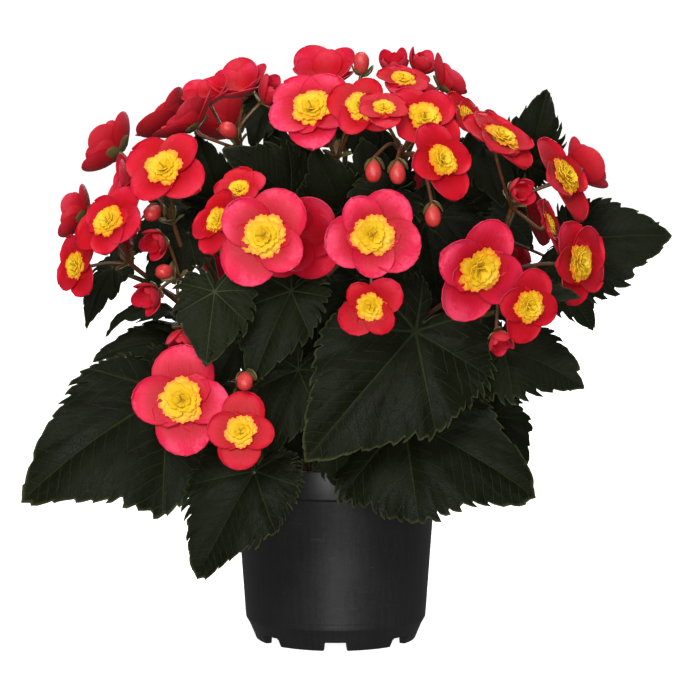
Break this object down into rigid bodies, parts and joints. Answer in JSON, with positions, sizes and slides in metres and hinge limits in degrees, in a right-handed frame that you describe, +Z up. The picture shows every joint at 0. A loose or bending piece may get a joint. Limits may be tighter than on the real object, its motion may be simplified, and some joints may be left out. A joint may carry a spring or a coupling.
{
  "type": "potted begonia",
  "caption": "Flowering house plant: a dome of red double blooms with frilled yellow centres over dark toothed leaves, standing in a plain round nursery pot.",
  "frame": {"origin": "centre of the pot's base, in the plane the pot stands on", "axes": "+Z up the pot's axis, -Y to the side of the plant shown as its front, +X to that side's right"},
  "size_m": [0.3992, 0.3216, 0.3711],
  "materials": {
    "pot_plastic": "satin",
    "potting_soil": "matte",
    "leaf_and_stem": "satin",
    "petal": "soft satin",
    "bloom_centre": "matte"
  },
  "bodies": {
    "root": {"centre_centre_1": "bloom_centre", "centre_centre_2": "bloom_centre", "centre_far_left_1": "bloom_centre", "centre_far_left_2": "bloom_centre", "centre_left_1": "bloom_centre", "centre_left_centre_1": "bloom_centre", "centre_left_centre_3": "bloom_centre", "centre_left_centre_4": "bloom_centre", "centre_lower_left_1": "bloom_centre", "centre_lower_left_2": "bloom_centre", "centre_rear_1_1": "bloom_centre", "centre_rear_1_2": "bloom_centre", "centre_rear_2_1": "bloom_centre", "centre_rear_2_2": "bloom_centre", "centre_rear_3_1": "bloom_centre", "centre_rear_3_2": "bloom_centre", "centre_rear_4_1": "bloom_centre", "centre_rear_4_2": "bloom_centre", "centre_rear_5_1": "bloom_centre", "centre_rear_5_2": "bloom_centre", "centre_right_lower_1": "bloom_centre", "centre_right_lower_2": "bloom_centre", "centre_right_lower_3": "bloom_centre", "centre_right_upper_1": "bloom_centre", "centre_right_upper_2": "bloom_centre", "centre_right_upper_4": "bloom_centre", "centre_top_front_1": "bloom_centre", "centre_top_front_2": "bloom_centre", "centre_top_rear_1": "bloom_centre", "centre_top_rear_2": "bloom_centre", "centre_top_right_1": "bloom_centre", "centre_top_right_2": "bloom_centre", "centre_top_right_3": "bloom_centre", "leafy_stem_back_left": "leaf_and_stem", "leafy_stem_back_right": "leaf_and_stem", "leafy_stem_front": "leaf_and_stem", "leafy_stem_front_right": "leaf_and_stem", "leafy_stem_left": "leaf_and_stem", "leafy_stem_right": "leaf_and_stem", "leafy_stem_top": "leaf_and_stem", "pot": "pot_plastic", "soil": "potting_soil", "spray_centre": "petal", "spray_far_left": "petal", "spray_left": "petal", "spray_left_buds": "petal", "spray_left_centre": "petal", "spray_lower_left": "petal", "spray_rear_1": "petal", "spray_rear_2": "petal", "spray_rear_3": "petal", "spray_rear_4": "petal", "spray_rear_5": "petal", "spray_right_lower": "petal", "spray_right_upper": "petal", "spray_top_front": "petal", "spray_top_left": "petal", "spray_top_rear": "petal", "spray_top_right": "petal"}
  },
  "joints": []
}
